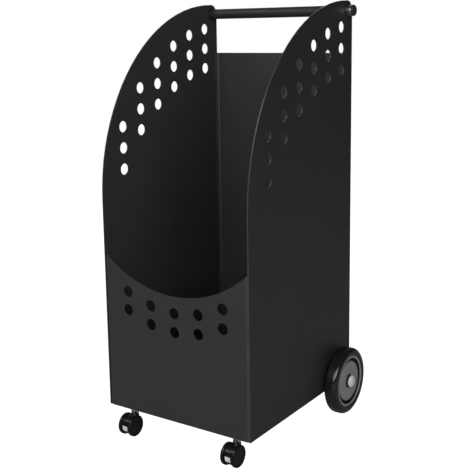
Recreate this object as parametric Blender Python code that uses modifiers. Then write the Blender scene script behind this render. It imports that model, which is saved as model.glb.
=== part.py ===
"""A wheeled newspaper rack in folded black sheet steel.

Two side panels with quarter-round fronts, a low front panel with a dished top edge, a back panel
and a base tray make an open bin. A round handle tube crosses the rear top corners. Two large wheels
turn on a fixed rear axle, and two small swivelling twin-wheel casters carry the front.

X runs to the right, Y to the rear and Z up. The origin is on the floor, under the bin's middle.
"""

import math

import bmesh
import bpy
from mathutils import Matrix, Vector

# Bin, in metres as all sizes here
BODY_WIDTH = 0.300
BODY_DEPTH = 0.350
SHEET = 0.002
INSIDE_BEND = 0.002
FLOOR_GAP = 0.052  # floor to the panels' lower edges
SEAT_GAP = 0.0003  # left between pieces that touch

# Side panels
SIDE_STRAIGHT = 0.373  # straight length of the front edge
SIDE_ARC_RADIUS = 0.334
HANDLE_INSET = 0.018  # handle axis to the rear edge, and the rear top corner's radius

# Perforation of the side panels
HOLE_RADIUS = 0.010
SIDE_HOLE_FIRST = 0.0595  # front edge to the first column
SIDE_HOLE_PITCH = 0.050
SIDE_HOLE_REAR = 0.030  # least distance from the last column to the rear edge
SIDE_HOLE_ROWS = 3
SIDE_HOLE_ROW_DROP = 0.0376
HOLE_ARC_BACK = 0.026  # the top row's arc, set off from the outline's arc
HOLE_ARC_DOWN = 0.059
HOLE_ARC_GROWTH = 0.016

# Front panel
FRONT_LOW_HEIGHT = 0.222  # lower edge to the lowest point of the dished top edge
FRONT_ARC_RADIUS = 0.219
FRONT_TOP_LAND = 0.002  # short flat where the dished edge meets the side panels
FRONT_FLANGE = 0.012
FRONT_HOLE_PITCH = 0.0495
FRONT_HOLE_MARGIN = 0.030  # least distance from the outer columns to the side panels
FRONT_HOLE_ROWS = 2
FRONT_HOLE_DROP = 0.0293  # top edge to the first row
FRONT_HOLE_ROW_DROP = 0.033

# Back panel
BACK_HEIGHT = 0.614
BACK_FLANGE = 0.008

# Base tray and the channel that carries the casters
BASE_RISE = 0.045  # panels' lower edges to the tray's upper face
BASE_FLANGE = 0.012
CHANNEL_RISE = 0.003  # panels' lower edges to the channel's lower face

# Handle
HANDLE_RADIUS = 0.0095
HANDLE_WALL = 0.0015
HANDLE_STUB = 0.011  # tube standing out past a side panel
PLUG_HEAD = 0.0035
PLUG_LIP = 0.0006  # how far the head stands out past the tube
PLUG_DEPTH = 0.012

# Rear axle and its wheels
AXLE_RADIUS = 0.006
AXLE_INSET = 0.050  # axle to the bin's rear face
AXLE_PLATE_LENGTH = 0.050
AXLE_PLATE_HEIGHT = 0.018
AXLE_PLATE_THICKNESS = 0.003
AXLE_PLATE_CORNER = 0.004
WASHER_RADIUS = 0.0115
INNER_WASHER = 0.002
OUTER_WASHER = 0.0015
BUSH_WALL = 0.0022
WHEEL_RADIUS = 0.0615
TYRE_WIDTH = 0.026
TYRE_SHOULDER = 0.0085
TYRE_BEAD_RADIUS = 0.0478
TYRE_BEAD_CHAMFER = 0.0013
HUB_BOSS_RADIUS = 0.0135
HUB_BOSS_INNER = 0.0130  # wheel's middle plane to the boss's end at the bin
HUB_BOSS_OUTER = 0.0065
HUB_RIM_HALF = 0.0117
HUB_RIM_WALL = 0.0045
HUB_GROOVE_WIDTH = 0.006
HUB_GROOVE_FLOOR = 0.004
HUB_DISC_FACE = 0.0097
HUB_WEB_INNER = 0.0005
HUB_RECESS_RADIUS = 0.0131
HUB_EDGE = 0.0008
HUB_RIBS = 6
HUB_RIB_THICKNESS = 0.003
HUB_RIB_SET_BACK = 0.004  # rim's edge to the ribs
CAP_RADIUS = 0.0092
CAP_HEIGHT = 0.0105
CAP_SKIRT = 0.0022
CAP_ROOF = 0.005  # top of the dome to the end of the axle's pocket
AXLE_CHAMFER = 0.0012

# Front casters
CASTER_SIDE_INSET = 0.040  # swivel axis to the bin's outer side
CASTER_INSET = 0.020  # swivel axis to the bin's front face
CASTER_TRAIL = 0.0125  # swivel axis to the wheel axle
CASTER_RADIUS = 0.019
CASTER_WHEEL_WIDTH = 0.0063
CASTER_WHEEL_EDGE = 0.0018
CASTER_WHEEL_GAP = 0.0004
CASTER_DISH = 0.0008
CASTER_DISH_RADIUS = 0.0146
HOOD_WIDTH = 0.014
HOOD_RADIUS = 0.0165
HOOD_LIFT = 0.0045  # floor to the hood's lower edge
HOOD_BOSS_HALF = 0.0068
HOOD_HEEL = 0.014  # floor to the foot of the hood's rear face
HOOD_EDGE = 0.001
CASTER_PIN_RADIUS = 0.0025
CASTER_PIN_REACH = 0.0034  # pin inside each wheel
STEM_NECK_RADIUS = 0.0035
STEM_NECK_DEPTH = 0.020
STEM_COLLAR_RADIUS = 0.0066
STEM_THREAD_RADIUS = 0.005
STEM_ABOVE_NUT = 0.003
NUT_ACROSS_FLATS = 0.016
NUT_HEIGHT = 0.008

# Facets. The wheels' counts divide by four, so that a flat side meets the floor.
HOLE_STEPS = 14
WHEEL_STEPS = 32
CASTER_STEPS = 20
ROD_STEPS = 20
SMALL_STEPS = 16
ARC_STEPS = 22
CORNER_STEPS = 5
FRONT_ARC_STEPS = 96

# Places worked out from the sizes above
FRONT_Y = -BODY_DEPTH / 2
REAR_Y = BODY_DEPTH / 2
PANEL_INSIDE_X = BODY_WIDTH / 2 - SHEET
CHANNEL_PANEL_HALF = PANEL_INSIDE_X - SEAT_GAP  # half width of the front and back panels
HANDLE_Y = REAR_Y - HANDLE_INSET
HANDLE_Z = FLOOR_GAP + SIDE_STRAIGHT + math.sqrt(
    (SIDE_ARC_RADIUS - HANDLE_INSET) ** 2 - (BODY_DEPTH - HANDLE_INSET - SIDE_ARC_RADIUS) ** 2
)
AXLE_Y = REAR_Y - AXLE_INSET
AXLE_Z = WHEEL_RADIUS
BASE_Z = FLOOR_GAP + BASE_RISE
STEM_X = BODY_WIDTH / 2 - CASTER_SIDE_INSET
STEM_Y = FRONT_Y + CASTER_INSET
CHANNEL_Z = FLOOR_GAP + CHANNEL_RISE
WHEEL_X = BODY_WIDTH / 2 + SEAT_GAP + INNER_WASHER + SEAT_GAP + HUB_BOSS_INNER
BUSH_RADIUS = AXLE_RADIUS + SEAT_GAP + BUSH_WALL
OUTER_WASHER_X = WHEEL_X + HUB_BOSS_OUTER + SEAT_GAP
CAP_X = OUTER_WASHER_X + OUTER_WASHER + SEAT_GAP
HOOD_TOP = CASTER_RADIUS + HOOD_RADIUS

UPRIGHT_YZ = (math.pi / 2, 0, math.pi / 2)  # turns a flat outline's x, y and depth to Y, Z and X
SIDES = (("left", -1), ("right", 1))


def clear_scene():
    for obj in list(bpy.data.objects):
        bpy.data.objects.remove(obj, do_unlink=True)


def add_collection(name):
    collection = bpy.data.collections.new(name)
    bpy.context.scene.collection.children.link(collection)
    return collection


def make_material(name, colour, roughness, metallic):
    material = bpy.data.materials.new(name)
    material.use_nodes = True
    shader = material.node_tree.nodes["Principled BSDF"]
    shader.inputs["Base Color"].default_value = (*colour, 1)
    shader.inputs["Roughness"].default_value = roughness
    shader.inputs["Metallic"].default_value = metallic
    return material


clear_scene()
PARTS = add_collection("newspaper_rack")
CUTTERS = add_collection("newspaper_rack_cutters")
POWDER_COAT = make_material("black_powder_coat", (0.021, 0.021, 0.022), 0.55, 0.0)
HANDLE_COAT = make_material("handle_black", (0.018, 0.018, 0.019), 0.35, 0.0)
ZINC = make_material("zinc_plate", (0.62, 0.62, 0.63), 0.3, 1.0)
TYRE_RUBBER = make_material("tyre_rubber", (0.014, 0.014, 0.014), 0.45, 0.0)
HUB_PLASTIC = make_material("grey_hub_plastic", (0.16, 0.16, 0.16), 0.45, 0.0)
BUSH_NYLON = make_material("bush_nylon", (0.6, 0.59, 0.55), 0.4, 0.0)
CASTER_PLASTIC = make_material("caster_black_plastic", (0.01, 0.01, 0.01), 0.22, 0.0)
PLUG_PLASTIC = make_material("plug_plastic", (0.015, 0.015, 0.015), 0.45, 0.0)


def place(obj, material, location=(0, 0, 0), rotation=(0, 0, 0), parent=None):
    """Gives a piece its material, its place and its parent, and adds it to the rack."""
    obj.data.materials.clear()
    obj.data.materials.append(material)
    obj.location = location
    obj.rotation_euler = rotation
    obj.parent = parent
    if obj.name not in PARTS.objects:
        PARTS.objects.link(obj)
    return obj


def as_cutter(obj):
    obj.hide_render = True
    obj.display_type = "WIRE"
    CUTTERS.objects.link(obj)
    return obj


def arc(centre, radius, start, end, steps):
    """Points on an arc, both ends included, with its angles in degrees."""
    angles = (math.radians(start + (end - start) * i / steps) for i in range(steps + 1))
    return [(centre[0] + radius * math.cos(a), centre[1] + radius * math.sin(a)) for a in angles]


def circle(centre, radius, steps):
    return arc(centre, radius, 0, 360, steps)[:-1]


def flat_piece(name, loops, thickness):
    """A sheet or a bar from a flat outline and the holes in it, as a filled curve."""
    curve = bpy.data.curves.new(name, "CURVE")
    curve.dimensions = "2D"
    curve.fill_mode = "BOTH"
    curve.extrude = thickness / 2
    for loop in loops:
        spline = curve.splines.new("POLY")
        spline.points.add(len(loop) - 1)
        for point, (x, y) in zip(spline.points, loop):
            point.co = (x, y, 0, 1)
        spline.use_cyclic_u = True
    return bpy.data.objects.new(name, curve)


def mesh_of(curve_object):
    """The same piece as a closed mesh, so that it can be cut."""
    name = curve_object.name
    bpy.context.scene.collection.objects.link(curve_object)
    graph = bpy.context.evaluated_depsgraph_get()
    mesh = bpy.data.meshes.new_from_object(curve_object.evaluated_get(graph))
    bpy.data.objects.remove(curve_object, do_unlink=True)
    shape = bmesh.new()
    shape.from_mesh(mesh)
    bmesh.ops.remove_doubles(shape, verts=shape.verts, dist=1e-6)
    bmesh.ops.recalc_face_normals(shape, faces=shape.faces)
    shape.to_mesh(mesh)
    shape.free()
    mesh.name = name
    return bpy.data.objects.new(name, mesh)


def turned_piece(name, profile, steps, closed):
    """A turned shape about Z from (radius, height) points that run down its outer side."""
    start = math.pi / steps  # half a facet, so that flat sides face down, up, forward and back
    points = [(r * math.cos(start), r * math.sin(start), z) for r, z in profile]
    edges = [(i, i + 1) for i in range(len(points) - 1)]
    if closed:
        edges.append((len(points) - 1, 0))
    mesh = bpy.data.meshes.new(name)
    mesh.from_pydata(points, edges, [])
    obj = bpy.data.objects.new(name, mesh)
    screw = obj.modifiers.new("turn", "SCREW")
    screw.angle = math.tau
    screw.steps = screw.render_steps = steps
    screw.use_merge_vertices = True
    screw.merge_threshold = 1e-6
    screw.use_smooth_shade = True
    return obj


def round_cutter(name, places, radius, depth, axis, steps):
    """One cutter with a cylinder along an axis at each place."""
    shape = bmesh.new()
    turn = Vector((0, 0, 1)).rotation_difference(Vector(axis)).to_matrix().to_4x4()
    for at in places:
        bmesh.ops.create_cone(
            shape, cap_ends=True, segments=steps, radius1=radius, radius2=radius, depth=depth,
            matrix=Matrix.Translation(at) @ turn,
        )
    mesh = bpy.data.meshes.new(name)
    shape.to_mesh(mesh)
    shape.free()
    return as_cutter(bpy.data.objects.new(name, mesh))


def combine(piece, other, operation):
    boolean = piece.modifiers.new(other.name, "BOOLEAN")
    boolean.operation = operation
    boolean.object = other


def soften(piece, width, segments):
    bevel = piece.modifiers.new("soften", "BEVEL")
    bevel.width = width
    bevel.segments = segments
    bevel.limit_method = "ANGLE"
    bevel.angle_limit = math.radians(50)


def folded_section(half_width, flange, way):
    """A folded sheet's section: a flat web with a flange at each end, which stand up the way given."""
    bend = INSIDE_BEND + SHEET
    left, right = (-half_width + bend, bend), (half_width - bend, bend)
    points = [(-half_width, flange)]
    points += arc(left, bend, 180, 270, CORNER_STEPS)
    points += arc(right, bend, 270, 360, CORNER_STEPS)
    points += [(half_width, flange), (half_width - SHEET, flange)]
    points += arc(right, INSIDE_BEND, 360, 270, CORNER_STEPS)
    points += arc(left, INSIDE_BEND, 270, 180, CORNER_STEPS)
    points.append((-half_width + SHEET, flange))
    return [(x, way * y) for x, y in points]


def side_panel_loops():
    """The side panel's outline and holes in Y and height above its lower edge."""
    arc_centre = (FRONT_Y + SIDE_ARC_RADIUS, SIDE_STRAIGHT)
    handle = (HANDLE_Y, HANDLE_Z - FLOOR_GAP)
    meeting = math.degrees(math.atan2(handle[1] - arc_centre[1], handle[0] - arc_centre[0]))
    outline = [(FRONT_Y, 0), (REAR_Y, 0)]
    outline += arc(handle, HANDLE_INSET, 0, meeting, CORNER_STEPS)[:-1]
    outline += arc(arc_centre, SIDE_ARC_RADIUS, meeting, 180, ARC_STEPS)
    loops = [outline]
    hole_arc = SIDE_ARC_RADIUS + HOLE_ARC_GROWTH
    columns = int((BODY_DEPTH - SIDE_HOLE_FIRST - SIDE_HOLE_REAR) / SIDE_HOLE_PITCH) + 1
    for column in range(columns):
        y = FRONT_Y + SIDE_HOLE_FIRST + column * SIDE_HOLE_PITCH
        back = arc_centre[0] + HOLE_ARC_BACK - y
        top = arc_centre[1] - HOLE_ARC_DOWN + math.sqrt(hole_arc**2 - back**2)
        for row in range(SIDE_HOLE_ROWS):
            loops.append(circle((y, top - row * SIDE_HOLE_ROW_DROP), HOLE_RADIUS, HOLE_STEPS))
    loops.append(circle(handle, HANDLE_RADIUS + SEAT_GAP, ROD_STEPS))
    loops.append(circle((AXLE_Y, AXLE_Z - FLOOR_GAP), AXLE_RADIUS + SEAT_GAP, ROD_STEPS))
    return loops


def build_side_panels():
    for side, way in SIDES:
        panel = flat_piece(f"{side}_side_panel", side_panel_loops(), SHEET)
        x = way * (BODY_WIDTH - SHEET) / 2
        place(panel, POWDER_COAT, (x, 0, FLOOR_GAP), UPRIGHT_YZ)


def front_edge_height(x):
    """Height of the dished top edge above the panel's lower edge."""
    return FRONT_LOW_HEIGHT + FRONT_ARC_RADIUS - math.sqrt(FRONT_ARC_RADIUS**2 - x**2)


def build_front_panel():
    height = front_edge_height(CHANNEL_PANEL_HALF - FRONT_TOP_LAND)
    section = folded_section(CHANNEL_PANEL_HALF, FRONT_FLANGE, 1)
    panel = mesh_of(flat_piece("front_panel", [section], height))
    dish_middle = Vector((0, FRONT_FLANGE / 2, FRONT_LOW_HEIGHT + FRONT_ARC_RADIUS - height / 2))
    dish = round_cutter(
        "front_dish_cutter", [dish_middle], FRONT_ARC_RADIUS, 2 * FRONT_FLANGE, (0, 1, 0), FRONT_ARC_STEPS
    )
    reach = int((CHANNEL_PANEL_HALF - FRONT_HOLE_MARGIN) / FRONT_HOLE_PITCH)
    places = []
    for column in range(-reach, reach + 1):
        x = column * FRONT_HOLE_PITCH
        top = front_edge_height(x) - FRONT_HOLE_DROP - height / 2
        places += [(x, SHEET / 2, top - row * FRONT_HOLE_ROW_DROP) for row in range(FRONT_HOLE_ROWS)]
    holes = round_cutter("front_hole_cutter", places, HOLE_RADIUS, 3 * SHEET, (0, 1, 0), HOLE_STEPS)
    middle = (0, FRONT_Y, FLOOR_GAP + height / 2)
    dish.location = holes.location = middle
    combine(panel, dish, "DIFFERENCE")
    combine(panel, holes, "DIFFERENCE")
    place(panel, POWDER_COAT, middle)


def build_back_panel():
    section = folded_section(CHANNEL_PANEL_HALF, BACK_FLANGE, -1)
    panel = flat_piece("back_panel", [section], BACK_HEIGHT)
    place(panel, POWDER_COAT, (0, REAR_Y, FLOOR_GAP + BACK_HEIGHT / 2))


def build_base_tray():
    """A pan turned upside down, between the flanges of the front and back panels."""
    size_x = 2 * (CHANNEL_PANEL_HALF - SHEET - SEAT_GAP)
    size_y = BODY_DEPTH - 2 * (SHEET + SEAT_GAP)
    shape = bmesh.new()
    bmesh.ops.create_cube(shape, matrix=Matrix.Diagonal((size_x, size_y, BASE_FLANGE, 1)))
    underside = [face for face in shape.faces if face.normal.z < -0.5]
    bmesh.ops.delete(shape, geom=underside, context="FACES_ONLY")
    mesh = bpy.data.meshes.new("base_tray")
    shape.to_mesh(mesh)
    shape.free()
    tray = bpy.data.objects.new("base_tray", mesh)
    soften(tray, INSIDE_BEND + SHEET, 3)
    wall = tray.modifiers.new("wall", "SOLIDIFY")
    wall.thickness = SHEET
    wall.offset = -1
    wall.use_even_offset = True
    place(tray, POWDER_COAT, (0, 0, BASE_Z - BASE_FLANGE / 2))


def build_caster_crossmember():
    """A channel, open at the top, under the tray's front: the caster stems go through its web."""
    inset = 2 * (SHEET + SEAT_GAP) + INSIDE_BEND  # clears the front panel and the tray's folded edge
    half_width = CASTER_INSET - inset
    height = BASE_Z - SHEET - SEAT_GAP - CHANNEL_Z
    length = 2 * (CHANNEL_PANEL_HALF - inset)
    section = folded_section(half_width, height, 1)
    channel = mesh_of(flat_piece("caster_crossmember", [section], length))
    places = [(way * STEM_X, STEM_Y, CHANNEL_Z) for _, way in SIDES]
    holes = round_cutter(
        "stem_hole_cutter", places, STEM_THREAD_RADIUS + SEAT_GAP, 4 * SHEET, (0, 0, 1), ROD_STEPS
    )
    combine(channel, holes, "DIFFERENCE")
    place(channel, POWDER_COAT, (0, STEM_Y, CHANNEL_Z), UPRIGHT_YZ)


def rounded_rectangle(width, height, corner):
    x, y = width / 2 - corner, height / 2 - corner
    points = []
    for start, centre in ((0, (x, y)), (90, (-x, y)), (180, (-x, -y)), (270, (x, -y))):
        points += arc(centre, corner, start, start + 90, CORNER_STEPS)
    return points


def build_axle_plates():
    outline = rounded_rectangle(AXLE_PLATE_LENGTH, AXLE_PLATE_HEIGHT, AXLE_PLATE_CORNER)
    hole = circle((0, 0), AXLE_RADIUS + SEAT_GAP, ROD_STEPS)
    for side, way in SIDES:
        plate = flat_piece(f"{side}_axle_plate", [outline, hole], AXLE_PLATE_THICKNESS)
        x = way * (PANEL_INSIDE_X - SEAT_GAP - AXLE_PLATE_THICKNESS / 2)
        place(plate, POWDER_COAT, (x, AXLE_Y, AXLE_Z), UPRIGHT_YZ)


def build_handle():
    half_length = BODY_WIDTH / 2 + HANDLE_STUB
    bore = HANDLE_RADIUS - HANDLE_WALL
    tube_profile = [
        (HANDLE_RADIUS, half_length), (HANDLE_RADIUS, -half_length),
        (bore, -half_length), (bore, half_length),
    ]
    tube = turned_piece("handle_tube", tube_profile, ROD_STEPS, closed=True)
    place(tube, HANDLE_COAT, (0, HANDLE_Y, HANDLE_Z), (0, math.pi / 2, 0))
    stalk = bore - SEAT_GAP
    head = HANDLE_RADIUS + PLUG_LIP
    plug_profile = [(0, PLUG_HEAD), (head - PLUG_HEAD / 2, PLUG_HEAD), (head, PLUG_HEAD / 2)]
    plug_profile += [(head, 0), (stalk, 0), (stalk, -PLUG_DEPTH), (0, -PLUG_DEPTH)]
    for side, way in SIDES:
        plug = turned_piece(f"{side}_handle_plug", plug_profile, ROD_STEPS, closed=False)
        x = way * (half_length + SEAT_GAP)
        place(plug, PLUG_PLASTIC, (x, HANDLE_Y, HANDLE_Z), (0, way * math.pi / 2, 0))


def ring_profile(outer, inner, low, high):
    return [(outer, high), (outer, low), (inner, low), (inner, high)]


def cap_profile(bore):
    """A domed cap with a short skirt, and a pocket from below for the axle's end."""
    dome = CAP_HEIGHT - CAP_SKIRT
    quarter = arc((0, 0), 1, 90, 0, CORNER_STEPS)[1:]
    points = [(0, CAP_HEIGHT)]
    points += [(CAP_RADIUS * r, CAP_SKIRT + dome * z) for r, z in quarter]
    pocket = CAP_HEIGHT - CAP_ROOF
    points += [(CAP_RADIUS, 0), (bore, 0), (bore, pocket), (0, pocket)]
    return points


def build_rear_axle():
    half_length = CAP_X + CAP_HEIGHT - CAP_ROOF - SEAT_GAP
    tip = AXLE_RADIUS - AXLE_CHAMFER
    profile = [(0, half_length), (tip, half_length), (AXLE_RADIUS, half_length - AXLE_CHAMFER)]
    profile += [(r, -z) for r, z in reversed(profile)]
    axle = turned_piece("rear_axle", profile, ROD_STEPS, closed=False)
    place(axle, ZINC, (0, AXLE_Y, AXLE_Z), (0, math.pi / 2, 0))
    bore = AXLE_RADIUS + SEAT_GAP
    inner = ring_profile(WASHER_RADIUS, bore, 0, INNER_WASHER)
    outer = ring_profile(WASHER_RADIUS, bore, 0, OUTER_WASHER)
    for side, way in SIDES:
        outward = (0, way * math.pi / 2, 0)
        stack = (
            ("inner_washer", inner, True, BODY_WIDTH / 2 + SEAT_GAP),
            ("outer_washer", outer, True, OUTER_WASHER_X),
            ("axle_cap", cap_profile(bore), False, CAP_X),
        )
        for name, shape, closed, x in stack:
            piece = turned_piece(f"{side}_{name}", shape, ROD_STEPS, closed)
            place(piece, ZINC, (way * x, AXLE_Y, AXLE_Z), outward)


def tyre_profile():
    tread = WHEEL_RADIUS / math.cos(math.pi / WHEEL_STEPS)  # facets' middles lie at the true radius
    half = TYRE_WIDTH / 2
    shoulder_r = tread - TYRE_SHOULDER
    shoulder_z = half - TYRE_SHOULDER
    points = [(TYRE_BEAD_RADIUS, half - TYRE_BEAD_CHAMFER), (TYRE_BEAD_RADIUS + TYRE_BEAD_CHAMFER, half)]
    points += arc((shoulder_r, shoulder_z), TYRE_SHOULDER, 90, 0, CORNER_STEPS)
    points += [(r, -z) for r, z in reversed(points)]
    return points


def hub_profile():
    """From the rim's outer edge down its seat, in to the boss, up the bore and out over the disc."""
    rim = TYRE_BEAD_RADIUS - SEAT_GAP
    lip = rim - HUB_RIM_WALL
    disc = lip - HUB_GROOVE_WIDTH
    bore = BUSH_RADIUS + SEAT_GAP
    points = [(rim - HUB_EDGE, HUB_RIM_HALF), (rim, HUB_RIM_HALF - HUB_EDGE), (rim, -HUB_RIM_HALF)]
    points += [(lip, -HUB_RIM_HALF), (lip, HUB_WEB_INNER), (HUB_BOSS_RADIUS, HUB_WEB_INNER)]
    points += [(HUB_BOSS_RADIUS, -HUB_BOSS_INNER), (bore, -HUB_BOSS_INNER), (bore, HUB_BOSS_OUTER)]
    points += [(HUB_RECESS_RADIUS - HUB_EDGE, HUB_BOSS_OUTER), (HUB_RECESS_RADIUS, HUB_DISC_FACE)]
    points += [(disc - HUB_EDGE, HUB_DISC_FACE), (disc, HUB_DISC_FACE - HUB_EDGE)]
    points += [(disc, HUB_GROOVE_FLOOR), (lip - HUB_EDGE, HUB_GROOVE_FLOOR)]
    points += [(lip, HUB_RIM_HALF - HUB_EDGE), (lip + HUB_EDGE, HUB_RIM_HALF)]
    return points


def hub_ribs(side):
    """Radial ribs from the boss to the rim on the wheel's inner side, each sunk into both."""
    low = -HUB_RIM_HALF + HUB_RIB_SET_BACK
    high = (HUB_WEB_INNER + HUB_GROOVE_FLOOR) / 2
    inner = HUB_BOSS_RADIUS - HUB_EDGE
    outer = TYRE_BEAD_RADIUS - SEAT_GAP - HUB_RIM_WALL + HUB_EDGE
    size = Matrix.Diagonal((outer - inner, HUB_RIB_THICKNESS, high - low, 1))
    middle = Matrix.Translation(((inner + outer) / 2, 0, (low + high) / 2))
    shape = bmesh.new()
    for rib in range(HUB_RIBS):
        turn = Matrix.Rotation(math.tau * rib / HUB_RIBS, 4, "Z")
        bmesh.ops.create_cube(shape, matrix=turn @ middle @ size)
    mesh = bpy.data.meshes.new(f"{side}_hub_ribs")
    shape.to_mesh(mesh)
    shape.free()
    return as_cutter(bpy.data.objects.new(f"{side}_hub_ribs", mesh))


def build_rear_wheels():
    bush = ring_profile(BUSH_RADIUS, AXLE_RADIUS + SEAT_GAP, -HUB_BOSS_INNER, HUB_BOSS_OUTER)
    for side, way in SIDES:
        centre = (way * WHEEL_X, AXLE_Y, AXLE_Z)
        outward = (0, way * math.pi / 2, 0)
        tyre = turned_piece(f"{side}_tyre", tyre_profile(), WHEEL_STEPS, closed=True)
        place(tyre, TYRE_RUBBER, centre, outward)
        hub = turned_piece(f"{side}_hub", hub_profile(), WHEEL_STEPS, closed=True)
        ribs = hub_ribs(side)
        ribs.location, ribs.rotation_euler = centre, outward
        combine(hub, ribs, "UNION")
        place(hub, HUB_PLASTIC, centre, outward)
        sleeve = turned_piece(f"{side}_hub_bush", bush, ROD_STEPS, closed=True)
        place(sleeve, BUSH_NYLON, centre, outward)


def hood_outline():
    """The caster hood from the side, in Y from the swivel axis and height above the floor."""
    axle = (-CASTER_TRAIL, CASTER_RADIUS)
    drop = math.degrees(math.asin((CASTER_RADIUS - HOOD_LIFT) / HOOD_RADIUS))
    points = arc(axle, HOOD_RADIUS, 90, 180 + drop, 3 * CORNER_STEPS)
    points.append((axle[0] + HOOD_RADIUS * math.cos(math.radians(drop)), HOOD_LIFT))
    points += [(HOOD_BOSS_HALF, HOOD_HEEL), (HOOD_BOSS_HALF, HOOD_TOP)]
    return points


def caster_wheel_profile():
    """One wheel, with its outer face up: a dished face, a rounded tread and a blind bore below."""
    tread = CASTER_RADIUS / math.cos(math.pi / CASTER_STEPS)
    width, edge = CASTER_WHEEL_WIDTH, CASTER_WHEEL_EDGE
    bore = CASTER_PIN_RADIUS + SEAT_GAP
    blind = CASTER_PIN_REACH + SEAT_GAP
    points = [(0, width - CASTER_DISH), (CASTER_DISH_RADIUS, width - CASTER_DISH)]
    points += [(CASTER_DISH_RADIUS + CASTER_DISH, width)]
    points += arc((tread - edge, width - edge), edge, 90, 0, 3)
    points += [(tread, edge / 2), (tread - edge / 2, 0), (bore, 0), (bore, blind), (0, blind)]
    return points


def build_caster(side, way):
    x = way * STEM_X
    collar_low = HOOD_TOP + SEAT_GAP
    collar_high = CHANNEL_Z - SEAT_GAP
    nut_low = CHANNEL_Z + SHEET + SEAT_GAP
    tip = nut_low + NUT_HEIGHT + STEM_ABOVE_NUT
    chamfer = STEM_THREAD_RADIUS / 5
    stem_profile = [(0, tip), (STEM_THREAD_RADIUS - chamfer, tip), (STEM_THREAD_RADIUS, tip - chamfer)]
    stem_profile += [(STEM_THREAD_RADIUS, collar_high), (STEM_COLLAR_RADIUS, collar_high)]
    stem_profile += [(STEM_COLLAR_RADIUS, collar_low), (STEM_NECK_RADIUS, collar_low)]
    neck_low = HOOD_TOP - STEM_NECK_DEPTH
    stem_profile += [(STEM_NECK_RADIUS, neck_low), (0, neck_low)]
    stem = turned_piece(f"{side}_caster_stem", stem_profile, ROD_STEPS, closed=False)
    place(stem, ZINC, (x, STEM_Y, 0))

    hexagon = circle((0, 0), NUT_ACROSS_FLATS / math.sqrt(3), 6)
    thread = circle((0, 0), STEM_THREAD_RADIUS + SEAT_GAP, ROD_STEPS)
    nut = flat_piece(f"{side}_caster_nut", [hexagon, thread], NUT_HEIGHT)
    place(nut, ZINC, (x, STEM_Y, nut_low + NUT_HEIGHT / 2))

    swivel = bpy.data.objects.new(f"{side}_caster_swivel", None)
    swivel.location = (x, STEM_Y, 0)
    PARTS.objects.link(swivel)
    axle = (0, -CASTER_TRAIL, CASTER_RADIUS)

    hood = mesh_of(flat_piece(f"{side}_caster_hood", [hood_outline()], HOOD_WIDTH))
    soften(hood, HOOD_EDGE, 2)
    neck_hole = round_cutter(
        f"{side}_neck_cutter", [(0, 0, HOOD_TOP)], STEM_NECK_RADIUS + SEAT_GAP,
        2 * (STEM_NECK_DEPTH + SEAT_GAP), (0, 0, 1), SMALL_STEPS,
    )
    pin_hole = round_cutter(
        f"{side}_pin_cutter", [axle], CASTER_PIN_RADIUS + SEAT_GAP, 2 * HOOD_WIDTH, (1, 0, 0), SMALL_STEPS
    )
    for cutter in (neck_hole, pin_hole):
        cutter.parent = swivel
        combine(hood, cutter, "DIFFERENCE")
    place(hood, CASTER_PLASTIC, rotation=UPRIGHT_YZ, parent=swivel)

    half_pin = HOOD_WIDTH / 2 + CASTER_WHEEL_GAP + CASTER_PIN_REACH
    pin_profile = [(0, half_pin), (CASTER_PIN_RADIUS, half_pin)]
    pin_profile += [(CASTER_PIN_RADIUS, -half_pin), (0, -half_pin)]
    pin = turned_piece(f"{side}_caster_pin", pin_profile, SMALL_STEPS, closed=False)
    place(pin, ZINC, axle, (0, math.pi / 2, 0), swivel)

    inner_face = HOOD_WIDTH / 2 + CASTER_WHEEL_GAP
    for name, out in (("outer", way), ("inner", -way)):
        title = f"{side}_caster_{name}_wheel"
        wheel = turned_piece(title, caster_wheel_profile(), CASTER_STEPS, closed=False)
        at = (out * inner_face, axle[1], axle[2])
        place(wheel, CASTER_PLASTIC, at, (0, out * math.pi / 2, 0), swivel)


build_side_panels()
build_front_panel()
build_back_panel()
build_base_tray()
build_caster_crossmember()
build_axle_plates()
build_handle()
build_rear_axle()
build_rear_wheels()
for caster_side, caster_way in SIDES:
    build_caster(caster_side, caster_way)
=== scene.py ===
import math

import bpy
import bmesh
from mathutils import Matrix, Vector


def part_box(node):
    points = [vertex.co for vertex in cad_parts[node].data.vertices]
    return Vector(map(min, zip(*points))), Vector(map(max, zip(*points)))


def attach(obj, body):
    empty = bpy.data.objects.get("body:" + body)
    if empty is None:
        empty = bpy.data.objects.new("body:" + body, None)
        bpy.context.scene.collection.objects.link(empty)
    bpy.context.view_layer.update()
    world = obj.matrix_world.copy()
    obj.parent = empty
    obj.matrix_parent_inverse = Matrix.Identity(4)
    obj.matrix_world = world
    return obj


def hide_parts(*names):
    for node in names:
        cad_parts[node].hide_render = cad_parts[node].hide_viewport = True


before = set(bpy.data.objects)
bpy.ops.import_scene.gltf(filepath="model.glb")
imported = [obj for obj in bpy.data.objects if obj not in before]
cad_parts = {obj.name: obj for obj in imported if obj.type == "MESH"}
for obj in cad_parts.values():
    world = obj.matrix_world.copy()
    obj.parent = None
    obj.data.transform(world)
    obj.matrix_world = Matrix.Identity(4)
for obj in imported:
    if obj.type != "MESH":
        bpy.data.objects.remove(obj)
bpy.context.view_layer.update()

# Places read from the frame, in metres
PANEL_LO, PANEL_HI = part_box("right_side_panel")
FRONT_Y, REAR_Y = PANEL_LO.y, PANEL_HI.y
PANEL_FOOT = PANEL_LO.z
SHEET = PANEL_HI.x - PANEL_LO.x
HALF_WIDTH = PANEL_HI.x
TUBE_LO, TUBE_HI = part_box("handle_tube")
TUBE_Y, TUBE_Z = (TUBE_LO.y + TUBE_HI.y) / 2, (TUBE_LO.z + TUBE_HI.z) / 2
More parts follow.
